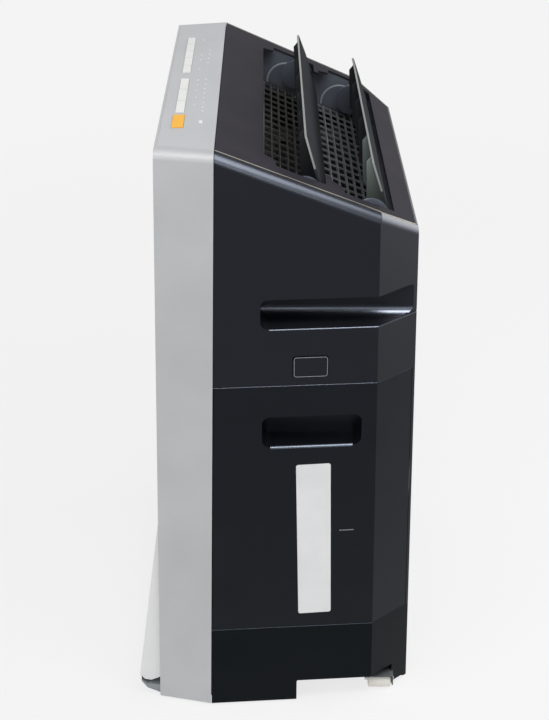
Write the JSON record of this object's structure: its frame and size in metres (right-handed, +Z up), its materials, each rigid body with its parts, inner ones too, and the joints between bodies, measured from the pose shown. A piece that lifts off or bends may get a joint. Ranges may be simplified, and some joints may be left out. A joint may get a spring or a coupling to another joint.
{
  "type": "humidifying air purifier",
  "caption": "Floor-standing humidifying air purifier with a silver front, black body, sloping top with tilting outlet louvres, and a pull-out side water tank with a level window.",
  "frame": {"origin": "on the floor under the centre of the whole box, louvres and intake panel standing open", "axes": "+Z up, front towards -Y, the tank side faces +X"},
  "size_m": [0.401, 0.2954, 0.6405],
  "materials": {
    "base_black": "gloss",
    "toe_grey": "satin",
    "roller_white": "satin",
    "steel_pin": "brushed",
    "silver_paint": "satin metallic",
    "front_light": "gloss",
    "intake_light": "gloss",
    "panel_silver": "satin metallic",
    "key_white": "satin",
    "key_orange": "satin",
    "board_green": "satin",
    "housing_black": "gloss",
    "button_black": "gloss",
    "inner_grey": "matt",
    "plate_satin": "satin",
    "trim_pale": "satin",
    "duct_dark": "matt",
    "grille_dark": "satin",
    "grille_pale": "satin",
    "louvre_dark": "satin",
    "motor_metal": "brushed",
    "filter_white": "matt",
    "filter_dark": "matt",
    "filter_mesh": "matt",
    "fan_white": "satin",
    "tray_blue": "satin",
    "wheel_media": "matt",
    "float_white": "satin",
    "cover_black": "gloss",
    "window_clear": "frosted",
    "tank_smoke": "satin",
    "cap_blue": "satin",
    "gland_black": "matt"
  },
  "bodies": {
    "machine": {"base": "base_black", "front_toe": "toe_grey", "roller_axles": "steel_pin", "front_frame": "silver_paint", "upper_front_panel": "front_light", "intake_pins": "steel_pin", "control_panel": "panel_silver", "control_board": "board_green", "housing": "housing_black", "button_guide": "inner_grey", "top_plate": "plate_satin", "top_trim": "trim_pale", "outlet_duct": "duct_dark", "front_grille": "grille_dark", "rear_grille": "grille_pale", "louvre_motors": "motor_metal", "filter_bulkhead": "inner_grey", "dust_filter": "filter_white", "scent_filter": "filter_dark", "pre_filter": "filter_mesh", "scroll_casing": "inner_grey", "fan_motor": "motor_metal", "motor_bracket": "motor_metal", "humidifier_tray": "tray_blue", "wheel_stand": "inner_grey", "wheel_shaft": "steel_pin", "cord_gland": "gland_black", "screws": "motor_metal"},
    "front_louvre": {"front_louvre": "louvre_dark"},
    "rear_louvre": {"rear_louvre": "louvre_dark"},
    "intake": {"intake_panel": "intake_light"},
    "button": {"release_button": "button_black"},
    "tank": {"tank_cover": "cover_black", "level_window": "window_clear", "tank_body": "tank_smoke", "tank_cap": "cap_blue"},
    "fan": {"fan_wheel": "fan_white"},
    "wheel": {"humidifier_wheel": "wheel_media"},
    "float": {"tray_float": "float_white"},
    "roller_rear_right": {"roller_rear_right": "roller_white"},
    "roller_rear_left": {"roller_rear_left": "roller_white"},
    "roller_front_right": {"roller_front_right": "roller_white"},
    "roller_front_left": {"roller_front_left": "roller_white"},
    "key_one": {"key_one": "key_white"},
    "key_two": {"key_two": "key_white"},
    "key_three": {"key_three": "key_white"},
    "key_four": {"key_four": "key_white"},
    "key_five": {"key_five": "key_white"},
    "key_six": {"key_six": "key_white"},
    "key_seven": {"key_seven": "key_white"},
    "key_eight": {"key_eight": "key_white"},
    "power_key": {"power_key": "key_orange"}
  },
  "joints": [
    {"name": "front_louvre_tilt", "type": "hinge", "parent": "machine", "child": "front_louvre", "pos_m": [0, 0.02508, 0.58823], "axis": [1, 0, 0], "range_deg": [-11, 49]},
    {"name": "rear_louvre_tilt", "type": "hinge", "parent": "machine", "child": "rear_louvre", "pos_m": [0, 0.0857, 0.56237], "axis": [1, 0, 0], "range_deg": [-11, 49]},
    {"name": "intake_swing", "type": "hinge", "parent": "machine", "child": "intake", "pos_m": [0, -0.11249, 0.238], "axis": [1, 0, 0], "range_deg": [0, 6]},
    {"name": "button_press", "type": "slide", "parent": "machine", "child": "button", "axis": [-1, 0, 0], "range_m": [0, 0.003], "stiffness_N_per_m": 400},
    {"name": "tank_pull", "type": "slide", "parent": "machine", "child": "tank", "axis": [1, 0, 0], "range_m": [0, 0.12]},
    {"name": "fan_spin", "type": "hinge", "parent": "machine", "child": "fan", "pos_m": [-0.042, 0.01324, 0.318], "axis": [0, 1, 0], "continuous": true},
    {"name": "wheel_spin", "type": "hinge", "parent": "machine", "child": "wheel", "pos_m": [-0.034, -0.03676, 0.176], "axis": [0, 1, 0], "continuous": true},
    {"name": "float_rise", "type": "slide", "parent": "machine", "child": "float", "axis": [0, 0, 1], "range_m": [0, 0.03]},
    {"name": "roller_rear_right_roll", "type": "hinge", "parent": "machine", "child": "roller_rear_right", "pos_m": [0.171, 0.11374, 0.0095], "axis": [0, 1, 0], "continuous": true},
    {"name": "roller_rear_left_roll", "type": "hinge", "parent": "machine", "child": "roller_rear_left", "pos_m": [-0.171, 0.11374, 0.0095], "axis": [0, 1, 0], "continuous": true},
    {"name": "roller_front_right_roll", "type": "hinge", "parent": "machine", "child": "roller_front_right", "pos_m": [0.171, -0.08276, 0.0095], "axis": [0, 1, 0], "continuous": true},
    {"name": "roller_front_left_roll", "type": "hinge", "parent": "machine", "child": "roller_front_left", "pos_m": [-0.171, -0.08276, 0.0095], "axis": [0, 1, 0], "continuous": true},
    {"name": "key_one_press", "type": "slide", "parent": "machine", "child": "key_one", "axis": [0, 0, -1], "range_m": [0, 0.0008], "stiffness_N_per_m": 500},
    {"name": "key_two_press", "type": "slide", "parent": "machine", "child": "key_two", "axis": [0, 0, -1], "range_m": [0, 0.0008], "stiffness_N_per_m": 500},
    {"name": "key_three_press", "type": "slide", "parent": "machine", "child": "key_three", "axis": [0, 0, -1], "range_m": [0, 0.0008], "stiffness_N_per_m": 500},
    {"name": "key_four_press", "type": "slide", "parent": "machine", "child": "key_four", "axis": [0, 0, -1], "range_m": [0, 0.0008], "stiffness_N_per_m": 500},
    {"name": "key_five_press", "type": "slide", "parent": "machine", "child": "key_five", "axis": [0, 0, -1], "range_m": [0, 0.0008], "stiffness_N_per_m": 500},
    {"name": "key_six_press", "type": "slide", "parent": "machine", "child": "key_six", "axis": [0, 0, -1], "range_m": [0, 0.0008], "stiffness_N_per_m": 500},
    {"name": "key_seven_press", "type": "slide", "parent": "machine", "child": "key_seven", "axis": [0, 0, -1], "range_m": [0, 0.0008], "stiffness_N_per_m": 500},
    {"name": "key_eight_press", "type": "slide", "parent": "machine", "child": "key_eight", "axis": [0, 0, -1], "range_m": [0, 0.0008], "stiffness_N_per_m": 500},
    {"name": "power_key_press", "type": "slide", "parent": "machine", "child": "power_key", "axis": [0, 0, -1], "range_m": [0, 0.0008], "stiffness_N_per_m": 500}
  ],
  "couplings": [
    {"joint": "rear_louvre_tilt", "follows": "front_louvre_tilt", "ratio": 1}
  ]
}
